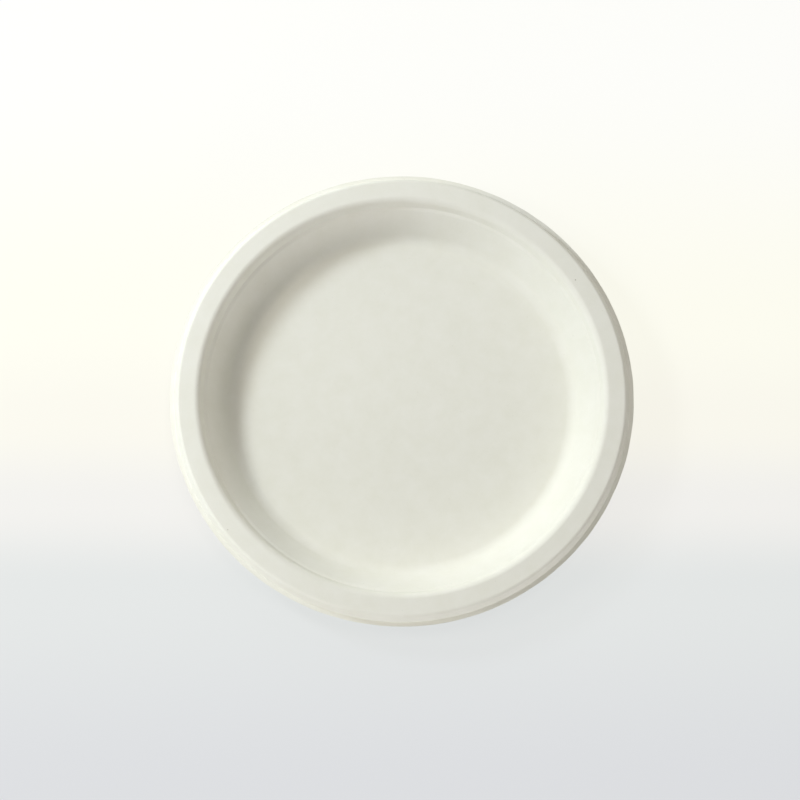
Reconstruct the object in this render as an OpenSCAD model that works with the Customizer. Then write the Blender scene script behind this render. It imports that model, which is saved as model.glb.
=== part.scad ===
// A round disposable plate, pressed in one piece from sugarcane pulp.
// Millimetres, +Z up. The origin is the centre of the underside, on the surface the plate stands on.
// The whole section has one even wall, so it is drawn as a centre line of tangent straights and arcs,
// thickened to both sides and turned about the plate's axis.

/* [Plate] */
// Diameter across the trimmed lip
plate_diameter = 225; // [150:1:320]
// Height from the underside of the floor to the top of the rim
plate_height = 20.5; // [17:0.5:40]
// Thickness of the pressed pulp
wall_thickness = 0.65; // [0.4:0.05:1]

/* [Side wall] */
// Radius of the fillet between floor and wall
floor_fillet_radius = 7.5; // [2:0.1:12]
// Slope of the wall, in degrees
wall_angle = 52; // [45:1:60]

/* [Stacking step] */
// Radius where the wall eases over onto the ledge
ledge_edge_radius = 1.5; // [0.8:0.1:5]
// Slope of the ledge, in degrees
ledge_angle = 39; // [5:1:42]
// Width of the ledge along its slope
ledge_width = 1.1; // [0.2:0.1:4]
// Radius of the crease at the foot of the riser
riser_foot_radius = 1; // [0.8:0.1:4]
// Slope of the riser under the rim, in degrees
riser_angle = 55; // [45:1:80]
// Length of the straight part of the riser
riser_length = 4.5; // [0.5:0.1:8]

/* [Rim] */
// Radius of the roll-over between riser and rim
rim_inner_radius = 2.8; // [1.5:0.1:7]
// Width of the flat band of the rim
rim_width = 6.4; // [2:0.1:15]
// How far the rim falls outwards, in degrees
rim_fall_angle = 1; // [0:0.5:8]
// Radius of the outer edge of the rim
rim_outer_radius = 1.5; // [0.8:0.1:5]

/* [Skirt and lip] */
// Slope of the turned-down skirt, in degrees
skirt_angle = 71; // [45:1:85]
// Length of the straight part of the skirt
skirt_length = 4.2; // [0.5:0.1:8]
// Radius of the crease between skirt and lip
skirt_foot_radius = 0.8; // [0.6:0.1:2]
// Fall of the trimmed lip, in degrees
lip_angle = 8; // [0:1:30]
// Width of the trimmed lip along its slope
lip_width = 1.8; // [0.5:0.1:5]

/* [Colour] */
// Colour of the unbleached pulp, a warm off-white
pulp_colour = "#e6e5da"; // ["#e6e5da":Off-white, "#f2f2ee":White, "#cbb592":Natural brown]

/* [Smoothness] */
// Largest turn between neighbouring points of an arc, in degrees
arc_step = 7; // [4:1:15]
// Segments round the plate
$fn = 180; // [48:12:360]

/* [Hidden] */

// The section outside the side wall, from the edge of the ledge outwards.
// An entry [length, 0] runs straight, and an entry [radius, turn] is an arc that turns to the left by turn degrees.
outer_steps = [
    [ledge_edge_radius, ledge_angle - wall_angle],
    [ledge_width, 0],
    [riser_foot_radius, riser_angle - ledge_angle],
    [riser_length, 0],
    [rim_inner_radius, -riser_angle],
    [rim_inner_radius, -rim_fall_angle],
    [rim_width, 0],
    [rim_outer_radius, rim_fall_angle - skirt_angle],
    [skirt_length, 0],
    [skirt_foot_radius, skirt_angle - lip_angle],
    [lip_width, 0]
];
// The entries of outer_steps that climb from the wall to the top of the rim
climb_steps = 5;

half_wall = wall_thickness / 2;
fillet_run = floor_fillet_radius * sin(wall_angle);
fillet_rise = floor_fillet_radius * (1 - cos(wall_angle));

// The straight wall takes up the height that the rest of the climb leaves
climb_rise = travel(outer_steps, wall_angle, climb_steps)[1];
wall_length = (plate_height - wall_thickness - fillet_rise - climb_rise) / sin(wall_angle);
wall_run = wall_length * cos(wall_angle);

// The flat floor takes up the radius that the wall, the rim and the lip leave
outer_run = travel(outer_steps, wall_angle, len(outer_steps))[0];
lip_edge_radius = plate_diameter / 2 - half_wall * sin(lip_angle);
floor_radius = lip_edge_radius - outer_run - wall_run - fillet_run;

section_steps = concat(
    [[floor_radius, 0], [floor_fillet_radius, wall_angle], [wall_length, 0]],
    outer_steps
);

// Where one entry leads from a heading, as [run, rise]
function step_vector(step, heading) =
    step[1] == 0
    ? step[0] * [cos(heading), sin(heading)]
    : sign(step[1]) * step[0]
        * [sin(heading + step[1]) - sin(heading), cos(heading) - cos(heading + step[1])];

// Where the first count entries lead together, as [run, rise]
function travel(steps, heading, count, i = 0) =
    i == count
    ? [0, 0]
    : step_vector(steps[i], heading) + travel(steps, heading + steps[i][1], count, i + 1);

// Points along the entries from number i on, each as [position, heading]
function centre_line(steps, start, heading, i = 0) =
    i == len(steps)
    ? []
    : let (
        size = steps[i][0],
        turn = steps[i][1],
        pieces = max(1, ceil(abs(turn) / arc_step)),
        points = [
            for (k = [1:pieces])
            let (part_turn = turn * k / pieces)
            [start + step_vector([size, part_turn], heading), heading + part_turn]
        ]
    )
    concat(points, centre_line(steps, start + step_vector(steps[i], heading), heading + turn, i + 1));

// A point moved off the centre line to one side of its heading
function offset_point(sample, distance) =
    sample[0] + distance * [-sin(sample[1]), cos(sample[1])];

// Half of the plate's section, from the axis to the trimmed edge
module plate_section() {
    samples = concat([[[0, half_wall], 0]], centre_line(section_steps, [0, half_wall], 0));
    upper_side = [for (s = samples) offset_point(s, half_wall)];
    under_side = [for (i = [len(samples) - 1:-1:0]) offset_point(samples[i], -half_wall)];
    polygon(concat(upper_side, under_side));
}

// The whole plate
module plate() {
    color(pulp_colour)
    rotate_extrude()
    plate_section();
}

plate();
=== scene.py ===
import math

import bpy
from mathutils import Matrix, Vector, noise


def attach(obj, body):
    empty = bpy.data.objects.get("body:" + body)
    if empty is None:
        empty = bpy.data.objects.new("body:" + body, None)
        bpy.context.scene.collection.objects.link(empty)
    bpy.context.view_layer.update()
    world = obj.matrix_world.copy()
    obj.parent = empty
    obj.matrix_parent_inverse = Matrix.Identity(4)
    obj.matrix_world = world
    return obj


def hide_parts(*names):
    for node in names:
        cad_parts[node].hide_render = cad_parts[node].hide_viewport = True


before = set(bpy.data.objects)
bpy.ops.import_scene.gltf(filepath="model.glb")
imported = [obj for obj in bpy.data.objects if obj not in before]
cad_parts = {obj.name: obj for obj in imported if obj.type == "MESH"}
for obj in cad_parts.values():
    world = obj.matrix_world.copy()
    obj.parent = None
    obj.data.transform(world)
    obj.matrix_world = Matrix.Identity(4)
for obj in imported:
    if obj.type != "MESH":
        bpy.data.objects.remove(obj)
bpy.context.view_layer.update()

MM = 0.001

# The plate's section, in millimetres and degrees: the solid's, with a steeper riser that turns
# into the rim more softly, because the photo shows a darker band there
PLATE_DIAMETER = 225.0
PLATE_HEIGHT = 20.5
PULP_THICKNESS = 0.65
FLOOR_FILLET_RADIUS = 7.5
WALL_ANGLE = 52.0
LEDGE_EDGE_RADIUS = 1.5
LEDGE_ANGLE = 39.0
LEDGE_WIDTH = 1.5
RISER_FOOT_RADIUS = 0.8
RISER_ANGLE = 68.0
RISER_LENGTH = 2.75
RIM_INNER_RADIUS = 3.2
RIM_WIDTH = 6.7
RIM_FALL_ANGLE = 1.0
RIM_OUTER_RADIUS = 1.5
SKIRT_ANGLE = 71.0
SKIRT_LENGTH = 4.2
SKIRT_FOOT_RADIUS = 0.8
LIP_ANGLE = 8.0
LIP_WIDTH = 1.8

# How finely the mesh follows it, and from what angle on an edge isn't shaded smooth
SEGMENTS_ROUND = 288
ARC_STEP = 4.0
FLOOR_STEP = 2.4
STRAIGHT_STEP = 0.8
SHARP_EDGE = 50.0

# The photograph's frame and the camera that took it
IMAGE_SIDE = 800
SENSOR_WIDTH = 36.0
FOCAL_PIXELS = 2465.0
CAMERA_DISTANCE = 1200.0
CAMERA_ELEVATION = 76.05
CAMERA_TARGET = Vector((-0.89, -0.65, 10.0))

# How far the pressed pulp strays from the true section: the rim up and down in a few broad waves,
# and the trimmed edge in and out over short ones
RIM_WARP = 0.12
RIM_WAVES = 1.3
RIM_SEED = Vector((3.0, 0.0, 0.0))
TRIM_WANDER = 0.14
TRIM_WAVE = 9.0
TRIM_SEED = Vector((0.0, 7.0, 0.0))

# Moulded pulp, in millimetres: flocks of fibre, single fibres, bark specks and the screen's print.
# The bark specks that show on the rim are given as x, y and radius
FLOCK_SIZE = 11.0
FIBRE_CELL = 2.2
FIBRE_LENGTH = 1.7
FIBRE_WIDTH = 0.11
GRAIN_SIZE = 0.6
SPECK_CELL = 9.0
SPECK_RADIUS = 0.16
WIRE_PITCH = 1.8
BARK_SPECKS = [(84.8, 57.2, 0.26), (-82.9, -66.9, 0.2)]
FELT_RELIEF = 0.012
SCREEN_RELIEF = 0.05
PULP_DEEP = "#e4e4d7"
PULP_PALE = "#e8e8dd"
FIBRE_TONE = "#eeeee4"
BARK_TONE = "#a9a593"

# The seamless paper, a hair under the plate: its tone at distances behind the plate's middle,
# how much of the lamps' light and shade shows on it, and its tone for light that bounces off it
FLOOR_SIDE = 6000.0
FLOOR_GAP = 0.05
SWEEP_TONES = [
    (-190.0, "#dbdde0"),
    (-90.0, "#e3e6e5"),
    (-50.0, "#f2f1ed"),
    (-10.0, "#fbf9ee"),
    (40.0, "#fffef1"),
    (180.0, "#fffffb"),
]
SWEEP_SHADOW_SHARE = 0.1
SWEEP_BOUNCE = "#dcdcd8"

# The lamps: name, azimuth and height in degrees, for a fill also how wide it looks, in degrees,
# then its level and its tint. Level 1 lights a white card that faces the lamp to full white
LAMP_DISTANCE = 1050.0
SOFTBOX_WIDTH = 200.0
SOFTBOXES = [
    ("key_softbox", 150.0, 34.5, 0.51, "#eaf4ff"),
    ("side_softbox", 180.0, 40.0, 0.2, "#fff9ee"),
]
FILL_LAMPS = [
    ("fill_back", 90.0, 30.0, 40.0, 0.25, "#fffdfb"),
    ("fill_left", 185.0, 30.0, 40.0, 0.23, "#ffffff"),
    ("fill_overhead", 45.0, 75.0, 20.0, 0.26, "#fff9f4"),
    ("low_front", 270.0, 9.0, 16.0, 0.26, "#f6f5ff"),
    ("low_right", 330.0, 4.6, 5.0, 0.17, "#fff8f2"),
]
# A strip in front that stands lower than the rim, so that it lights the skirt alone
STRIP_WIDTH = 400.0
STRIP_HEIGHT = 16.0
STRIP_MIDDLE = 9.6
STRIP_AZIMUTH = 262.0
STRIP_LEVEL = 0.19
# The even light from all round
SKY_LEVEL = 0.005

# The sockets of a Mix node that mixes colours
MIX_A = 6
MIX_B = 7
MIX_RESULT = 2


def linear(hex_colour):
    """An sRGB hex colour as linear RGBA."""
    channels = [int(hex_colour[i:i + 2], 16) / 255 for i in (1, 3, 5)]
    return tuple(c / 12.92 if c <= 0.04045 else ((c + 0.055) / 1.055) ** 2.4 for c in channels) + (1.0,)


def add_node(tree, kind, settings=None, links=None, **attributes):
    """Adds a node, sets its attributes and its unlinked sockets, and links the others."""
    node = tree.nodes.new(kind)
    for name, value in attributes.items():
        setattr(node, name, value)
    for socket, value in (settings or {}).items():
        node.inputs[socket].default_value = value
    for socket, source in (links or {}).items():
        tree.links.new(source, node.inputs[socket])
    return node


def make_camera():
    """The camera that took the photograph: a long lens, high above the plate's front."""
    elevation = math.radians(CAMERA_ELEVATION)
    back = Vector((0.0, -math.cos(elevation), math.sin(elevation)))
    lens = bpy.data.cameras.new("photo_camera")
    lens.sensor_width = SENSOR_WIDTH
    lens.lens = FOCAL_PIXELS * SENSOR_WIDTH / IMAGE_SIDE
    lens.clip_end = 20.0
    camera = bpy.data.objects.new("photo_camera", lens)
    camera.location = (CAMERA_TARGET + back * CAMERA_DISTANCE) * MM
    camera.rotation_mode = "QUATERNION"
    camera.rotation_quaternion = (-back).to_track_quat("-Z", "Y")
    bpy.context.scene.collection.objects.link(camera)
    bpy.context.scene.camera = camera


# The section is walked as straights [length, 0] and arcs [radius, turn], as in the solid


def walk(step, heading):
    """Where one straight or arc leads from a heading, as run and rise."""
    size, turn = step
    start = math.radians(heading)
    end = math.radians(heading + turn)
    if turn == 0:
        return size * math.cos(start), size * math.sin(start)
    reach = math.copysign(size, turn)
    return reach * (math.sin(end) - math.sin(start)), reach * (math.cos(start) - math.cos(end))


def walk_all(steps, heading):
    """Where straights and arcs lead together, as run and rise."""
    run = rise = 0.0
    for step in steps:
        step_run, step_rise = walk(step, heading)
        run += step_run
        rise += step_rise
        heading += step[1]
    return run, rise


def section_steps():
    """The plate's centre line from the axis to the trimmed lip."""
    climb = [
        (LEDGE_EDGE_RADIUS, LEDGE_ANGLE - WALL_ANGLE),
        (LEDGE_WIDTH, 0),
        (RISER_FOOT_RADIUS, RISER_ANGLE - LEDGE_ANGLE),
        (RISER_LENGTH, 0),
        (RIM_INNER_RADIUS, -RISER_ANGLE),
    ]
    descent = [
        (RIM_INNER_RADIUS, -RIM_FALL_ANGLE),
        (RIM_WIDTH, 0),
        (RIM_OUTER_RADIUS, RIM_FALL_ANGLE - SKIRT_ANGLE),
        (SKIRT_LENGTH, 0),
        (SKIRT_FOOT_RADIUS, SKIRT_ANGLE - LIP_ANGLE),
        (LIP_WIDTH, 0),
    ]
    foot = math.radians(WALL_ANGLE)
    fillet = (FLOOR_FILLET_RADIUS, WALL_ANGLE)
    fillet_run, fillet_rise = walk(fillet, 0)
    climb_run, climb_rise = walk_all(climb, WALL_ANGLE)
    descent_run, _ = walk_all(descent, 0)
    wall_length = (PLATE_HEIGHT - PULP_THICKNESS - fillet_rise - climb_rise) / math.sin(foot)
    lip_edge = PLATE_DIAMETER / 2 - PULP_THICKNESS / 2 * math.sin(math.radians(LIP_ANGLE))
    floor_radius = lip_edge - descent_run - climb_run - wall_length * math.cos(foot) - fillet_run
    return [(floor_radius, 0), fillet, (wall_length, 0)] + climb + descent


def section_samples():
    """Points along the centre line, each as (radius, height, heading)."""
    steps = section_steps()
    radius, height, heading = 0.0, PULP_THICKNESS / 2, 0.0
    samples = []
    for number, (size, turn) in enumerate(steps):
        if turn:
            length = size * math.radians(abs(turn))
            pieces = max(2, math.ceil(abs(turn) / ARC_STEP), math.ceil(length / STRAIGHT_STEP))
        else:
            pieces = math.ceil(size / (FLOOR_STEP if number == 0 else STRAIGHT_STEP))
        for k in range(1, pieces + 1):
            part = (size, turn * k / pieces) if turn else (size * k / pieces, 0)
            run, rise = walk(part, heading)
            samples.append((radius + run, height + rise, heading + turn * k / pieces))
        run, rise = walk((size, turn), heading)
        radius += run
        height += rise
        heading += turn
    return samples


def build_plate():
    """The pressed plate as one closed mesh: upper side, trimmed edge and underside."""
    samples = section_samples()
    half = PULP_THICKNESS / 2
    wall_start = section_steps()[0][0]
    outline = []
    for side in (1, -1):
        row = [
            (r - side * half * math.sin(math.radians(a)), z + side * half * math.cos(math.radians(a)))
            for r, z, a in samples
        ]
        outline += row if side == 1 else row[::-1]
    verts = [(0.0, 0.0, PULP_THICKNESS * MM)]
    for r, z in outline:
        # Nothing strays on the floor, and most at the trimmed edge
        reach = max(0.0, (r - wall_start) / (PLATE_DIAMETER / 2 - wall_start))
        at_trim = max(0.0, (r - PLATE_DIAMETER / 2 + LIP_WIDTH) / LIP_WIDTH)
        for s in range(SEGMENTS_ROUND):
            angle = 2 * math.pi * s / SEGMENTS_ROUND
            across = Vector((math.cos(angle), math.sin(angle), 0.0))
            warp = noise.noise(across * RIM_WAVES + RIM_SEED) * RIM_WARP * reach
            wander = noise.noise(across * (PLATE_DIAMETER / 2 / TRIM_WAVE) + TRIM_SEED) * TRIM_WANDER
            spot = across * (r + wander * at_trim)
            verts.append((spot.x * MM, spot.y * MM, (z + warp) * MM))
    verts.append((0.0, 0.0, 0.0))
    last = len(verts) - 1
    faces = []
    undersides = []
    for s in range(SEGMENTS_ROUND):
        t = (s + 1) % SEGMENTS_ROUND
        faces.append((0, 1 + s, 1 + t))
        undersides.append(False)
        for ring in range(len(outline) - 1):
            low = 1 + ring * SEGMENTS_ROUND
            high = low + SEGMENTS_ROUND
            faces.append((low + s, high + s, high + t, low + t))
            undersides.append(ring >= len(samples))
        end = 1 + (len(outline) - 1) * SEGMENTS_ROUND
        faces.append((end + s, last, end + t))
        undersides.append(True)
    mesh = bpy.data.meshes.new("pulp_plate")
    mesh.from_pydata(verts, [], faces)
    mesh.update()
    for polygon, under in zip(mesh.polygons, undersides):
        polygon.use_smooth = True
        polygon.material_index = 1 if under else 0
    mesh.set_sharp_from_angle(angle=math.radians(SHARP_EDGE))
    plate = bpy.data.objects.new("pulp_plate", mesh)
    bpy.context.scene.collection.objects.link(plate)
    return plate


def fibre_layer(tree, place, cell, seed):
    """A mask of short fibres that lie at random: one straight fibre in each cell."""
    shifted = add_node(tree, "ShaderNodeVectorMath", {1: (seed, seed * 1.7, 0.0)}, {0: place},
                       operation="ADD")
    cells = add_node(tree, "ShaderNodeTexVoronoi", {"Scale": 1 / (cell * MM)},
                     {"Vector": shifted.outputs["Vector"]}, voronoi_dimensions="2D")
    away = add_node(tree, "ShaderNodeVectorMath", None,
                    {0: shifted.outputs["Vector"], 1: cells.outputs["Position"]}, operation="SUBTRACT")
    chance = add_node(tree, "ShaderNodeSeparateColor", None, {"Color": cells.outputs["Color"]})
    turn = add_node(tree, "ShaderNodeMath", {1: 2 * math.pi}, {0: chance.outputs["Red"]},
                    operation="MULTIPLY")
    turned = add_node(tree, "ShaderNodeVectorRotate", None,
                      {"Vector": away.outputs["Vector"], "Angle": turn.outputs["Value"]},
                      rotation_type="Z_AXIS")
    run = add_node(tree, "ShaderNodeSeparateXYZ", None, {"Vector": turned.outputs["Vector"]})
    masks = []
    for axis, reach in (("X", FIBRE_LENGTH / 2), ("Y", FIBRE_WIDTH / 2)):
        size = add_node(tree, "ShaderNodeMath", None, {0: run.outputs[axis]}, operation="ABSOLUTE")
        masks.append(add_node(tree, "ShaderNodeMapRange",
                              {"From Min": reach * 0.6 * MM, "From Max": reach * 1.2 * MM,
                               "To Min": 1.0, "To Max": 0.0},
                              {"Value": size.outputs["Value"]}))
    both = add_node(tree, "ShaderNodeMath", None,
                    {0: masks[0].outputs["Result"], 1: masks[1].outputs["Result"]}, operation="MULTIPLY")
    faint = add_node(tree, "ShaderNodeMath", None,
                     {0: both.outputs["Value"], 1: chance.outputs["Green"]}, operation="MULTIPLY")
    return faint.outputs["Value"]


def bark_mask(tree, place):
    """A mask of bark specks: faint ones in a few cells at random, and those that show on the rim."""
    cells = add_node(tree, "ShaderNodeTexVoronoi", {"Scale": 1 / (SPECK_CELL * MM)}, {"Vector": place},
                     voronoi_dimensions="2D")
    chance = add_node(tree, "ShaderNodeSeparateColor", None, {"Color": cells.outputs["Color"]})
    kept = add_node(tree, "ShaderNodeMapRange", {"From Min": 0.82, "From Max": 0.9, "To Max": 0.35},
                    {"Value": chance.outputs["Blue"]})
    away = add_node(tree, "ShaderNodeMapRange",
                    {"From Min": SPECK_RADIUS * 0.5 / SPECK_CELL, "From Max": SPECK_RADIUS * 1.3 / SPECK_CELL,
                     "To Min": 1.0, "To Max": 0.0}, {"Value": cells.outputs["Distance"]})
    mask = add_node(tree, "ShaderNodeMath", None, {0: kept.outputs["Result"], 1: away.outputs["Result"]},
                    operation="MULTIPLY").outputs["Value"]
    for x, y, radius in BARK_SPECKS:
        gap = add_node(tree, "ShaderNodeVectorMath", {1: (x * MM, y * MM, PLATE_HEIGHT * MM)}, {0: place},
                       operation="DISTANCE")
        spot = add_node(tree, "ShaderNodeMapRange",
                        {"From Min": radius * 0.6 * MM, "From Max": radius * 1.6 * MM,
                         "To Min": 1.0, "To Max": 0.0},
                        {"Value": gap.outputs["Value"]})
        mask = add_node(tree, "ShaderNodeMath", None, {0: mask, 1: spot.outputs["Result"]},
                        operation="MAXIMUM").outputs["Value"]
    return mask


def pulp_material(name, screened):
    """Moulded sugarcane pulp (bagasse), hot-pressed: an off-white, dry and matte felt of short fibres.

    Its flocks are a shade paler or deeper, single fibres catch the light, and a little bark stays in it.
    The side that lay on the wire screen is rougher and keeps the screen's print.
    """
    material = bpy.data.materials.new(name)
    material.use_nodes = True
    tree = material.node_tree
    tree.nodes.clear()
    place = add_node(tree, "ShaderNodeTexCoord").outputs["Object"]

    flocks = add_node(tree, "ShaderNodeTexNoise",
                      {"Scale": 1 / (FLOCK_SIZE * MM), "Detail": 4.0, "Roughness": 0.62}, {"Vector": place})
    cloud = add_node(tree, "ShaderNodeMapRange", {"From Min": 0.3, "From Max": 0.7},
                     {"Value": flocks.outputs["Fac"]})
    # Real bagasse fibres are about 0.02 mm wide, so these are drawn as coarse as they need to show
    fibres = fibre_layer(tree, place, FIBRE_CELL, 0.0)
    for cell, seed in ((FIBRE_CELL * 0.8, 0.031), (FIBRE_CELL * 1.3, 0.057)):
        more = fibre_layer(tree, place, cell, seed)
        fibres = add_node(tree, "ShaderNodeMath", None, {0: fibres, 1: more},
                          operation="MAXIMUM").outputs["Value"]

    ground = add_node(tree, "ShaderNodeMix", {MIX_A: linear(PULP_DEEP), MIX_B: linear(PULP_PALE)},
                      {"Factor": cloud.outputs["Result"]}, data_type="RGBA")
    paler = add_node(tree, "ShaderNodeMath", {1: 0.3}, {0: fibres}, operation="MULTIPLY")
    felt = add_node(tree, "ShaderNodeMix", {MIX_B: linear(FIBRE_TONE)},
                    {MIX_A: ground.outputs[MIX_RESULT], "Factor": paler.outputs["Value"]}, data_type="RGBA")
    colour = add_node(tree, "ShaderNodeMix", {MIX_B: linear(BARK_TONE)},
                      {MIX_A: felt.outputs[MIX_RESULT], "Factor": bark_mask(tree, place)}, data_type="RGBA")

    grain = add_node(tree, "ShaderNodeTexNoise", {"Scale": 1 / (GRAIN_SIZE * MM), "Detail": 2.0},
                     {"Vector": place})
    height = add_node(tree, "ShaderNodeMath", None, {0: fibres, 1: grain.outputs["Fac"]}, operation="ADD")
    depth = FELT_RELIEF
    if screened:
        # The screen's own pitch is near 0.4 mm, and it is drawn coarser so that it shows
        spot = add_node(tree, "ShaderNodeSeparateXYZ", None, {"Vector": place})
        wires = []
        for axis in ("X", "Y"):
            phase = add_node(tree, "ShaderNodeMath", {1: 2 * math.pi / (WIRE_PITCH * MM)},
                             {0: spot.outputs[axis]}, operation="MULTIPLY")
            wires.append(add_node(tree, "ShaderNodeMath", None, {0: phase.outputs["Value"]},
                                  operation="SINE"))
        weave = add_node(tree, "ShaderNodeMath", None,
                         {0: wires[0].outputs["Value"], 1: wires[1].outputs["Value"]}, operation="MULTIPLY")
        height = add_node(tree, "ShaderNodeMath", None,
                          {0: height.outputs["Value"], 1: weave.outputs["Value"]}, operation="ADD")
        depth = SCREEN_RELIEF
    bump = add_node(tree, "ShaderNodeBump", {"Strength": 1.0, "Distance": depth * MM},
                    {"Height": height.outputs["Value"]})
    dry = add_node(tree, "ShaderNodeMapRange",
                   {"To Min": 0.8 if screened else 0.7, "To Max": 0.92 if screened else 0.82},
                   {"Value": flocks.outputs["Fac"]})
    shader = add_node(tree, "ShaderNodeBsdfPrincipled", {"IOR": 1.5}, {
        "Base Color": colour.outputs[MIX_RESULT],
        "Roughness": dry.outputs["Result"],
        "Normal": bump.outputs["Normal"],
    })
    add_node(tree, "ShaderNodeOutputMaterial", None, {"Surface": shader.outputs["BSDF"]})
    return material


def seen_directly(tree):
    """One where the camera, a glossy ray or a transmitted ray looks, and zero for light that bounces."""
    path = add_node(tree, "ShaderNodeLightPath")
    seen = path.outputs["Is Camera Ray"]
    for ray in ("Is Glossy Ray", "Is Transmission Ray"):
        seen = add_node(tree, "ShaderNodeMath", None, {0: seen, 1: path.outputs[ray]},
                        operation="MAXIMUM").outputs["Value"]
    return seen


def make_floor():
    """Seamless studio paper, matt, cool grey in front of the plate and white behind it."""
    half = FLOOR_SIDE / 2 * MM
    mesh = bpy.data.meshes.new("floor")
    corners = [(-half, -half, 0), (half, -half, 0), (half, half, 0), (-half, half, 0)]
    mesh.from_pydata(corners, [], [(0, 1, 2, 3)])
    floor = bpy.data.objects.new("floor", mesh)
    floor.location.z = -FLOOR_GAP * MM
    bpy.context.scene.collection.objects.link(floor)
    material = bpy.data.materials.new("seamless_paper")
    material.use_nodes = True
    tree = material.node_tree
    tree.nodes.clear()
    place = add_node(tree, "ShaderNodeTexCoord").outputs["Object"]
    spot = add_node(tree, "ShaderNodeSeparateXYZ", None, {"Vector": place})
    front, back = SWEEP_TONES[0][0], SWEEP_TONES[-1][0]
    along = add_node(tree, "ShaderNodeMapRange", {"From Min": front * MM, "From Max": back * MM},
                     {"Value": spot.outputs["Y"]})
    tones = add_node(tree, "ShaderNodeValToRGB", None, {"Fac": along.outputs["Result"]})
    ramp = tones.color_ramp
    for distance, _ in SWEEP_TONES[1:-1]:
        ramp.elements.new((distance - front) / (back - front))
    for stop, (_, tone) in zip(ramp.elements, SWEEP_TONES):
        stop.color = linear(tone)
    ramp.interpolation = "EASE"
    # White paper to the eye, and a little duller for the light that bounces off it onto the skirt
    seen = seen_directly(tree)
    body = add_node(tree, "ShaderNodeMix", {MIX_A: linear(SWEEP_BOUNCE), MIX_B: linear("#ffffff")},
                    {"Factor": seen}, data_type="RGBA")
    paper = add_node(tree, "ShaderNodeBsdfDiffuse", None, {"Color": body.outputs[MIX_RESULT]})
    glow = add_node(tree, "ShaderNodeEmission", {"Strength": 1.0}, {"Color": tones.outputs["Color"]})
    share = add_node(tree, "ShaderNodeMath", {1: 1 - SWEEP_SHADOW_SHARE}, {0: seen}, operation="MULTIPLY")
    both = add_node(tree, "ShaderNodeMixShader", None,
                    {0: share.outputs["Value"], 1: paper.outputs["BSDF"], 2: glow.outputs["Emission"]})
    add_node(tree, "ShaderNodeOutputMaterial", None, {"Surface": both.outputs["Shader"]})
    mesh.materials.append(material)


def add_lamp(name, kind, azimuth, height, energy, tint):
    """Places a lamp round the plate and points it at the plate's middle."""
    lamp = bpy.data.lights.new(name, kind)
    lamp.energy = energy
    lamp.color = linear(tint)[:3]
    stand = bpy.data.objects.new(name, lamp)
    a = math.radians(azimuth)
    e = math.radians(height)
    back = Vector((math.cos(a) * math.cos(e), math.sin(a) * math.cos(e), math.sin(e)))
    stand.location = back * LAMP_DISTANCE * MM
    stand.rotation_mode = "QUATERNION"
    stand.rotation_quaternion = back.to_track_quat("Z", "Y")
    stand.visible_camera = False
    bpy.context.scene.collection.objects.link(stand)
    return lamp


def make_lamps():
    """Two round softboxes on the left, fills around the plate, and a low strip in front of it."""
    for name, azimuth, height, level, tint in SOFTBOXES:
        energy = level * (math.pi * LAMP_DISTANCE * MM) ** 2
        softbox = add_lamp(name, "AREA", azimuth, height, energy, tint)
        softbox.shape = "DISK"
        softbox.size = SOFTBOX_WIDTH * MM
    for name, azimuth, height, width, level, tint in FILL_LAMPS:
        fill = add_lamp(name, "SUN", azimuth, height, level * math.pi, tint)
        fill.angle = math.radians(width)
    strip_angle = math.degrees(math.asin(STRIP_MIDDLE / LAMP_DISTANCE))
    energy = STRIP_LEVEL * (math.pi * LAMP_DISTANCE * MM) ** 2
    strip = add_lamp("front_strip", "AREA", STRIP_AZIMUTH, strip_angle, energy, "#ffffff")
    strip.shape = "RECTANGLE"
    strip.size = STRIP_WIDTH * MM
    strip.size_y = STRIP_HEIGHT * MM


def make_world():
    """An even, weak light from all round, seen by the camera as a pale studio wall."""
    world = bpy.data.worlds.new("studio")
    world.use_nodes = True
    tree = world.node_tree
    tree.nodes.clear()
    light = add_node(tree, "ShaderNodeBackground", {"Color": linear("#ffffff"), "Strength": SKY_LEVEL})
    wall = add_node(tree, "ShaderNodeBackground", {"Color": linear("#f6f6f2"), "Strength": 1.0})
    both = add_node(tree, "ShaderNodeMixShader", None,
                    {0: seen_directly(tree), 1: light.outputs["Background"], 2: wall.outputs["Background"]})
    add_node(tree, "ShaderNodeOutputWorld", None, {"Surface": both.outputs["Shader"]})
    bpy.context.scene.world = world


make_camera()
make_floor()
make_lamps()
make_world()
bpy.context.scene.view_settings.view_transform = "Standard"

plate = build_plate()
plate.data.materials.append(pulp_material("pressed_pulp", screened=False))
plate.data.materials.append(pulp_material("screen_side_pulp", screened=True))
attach(plate, "root")
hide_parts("plate")
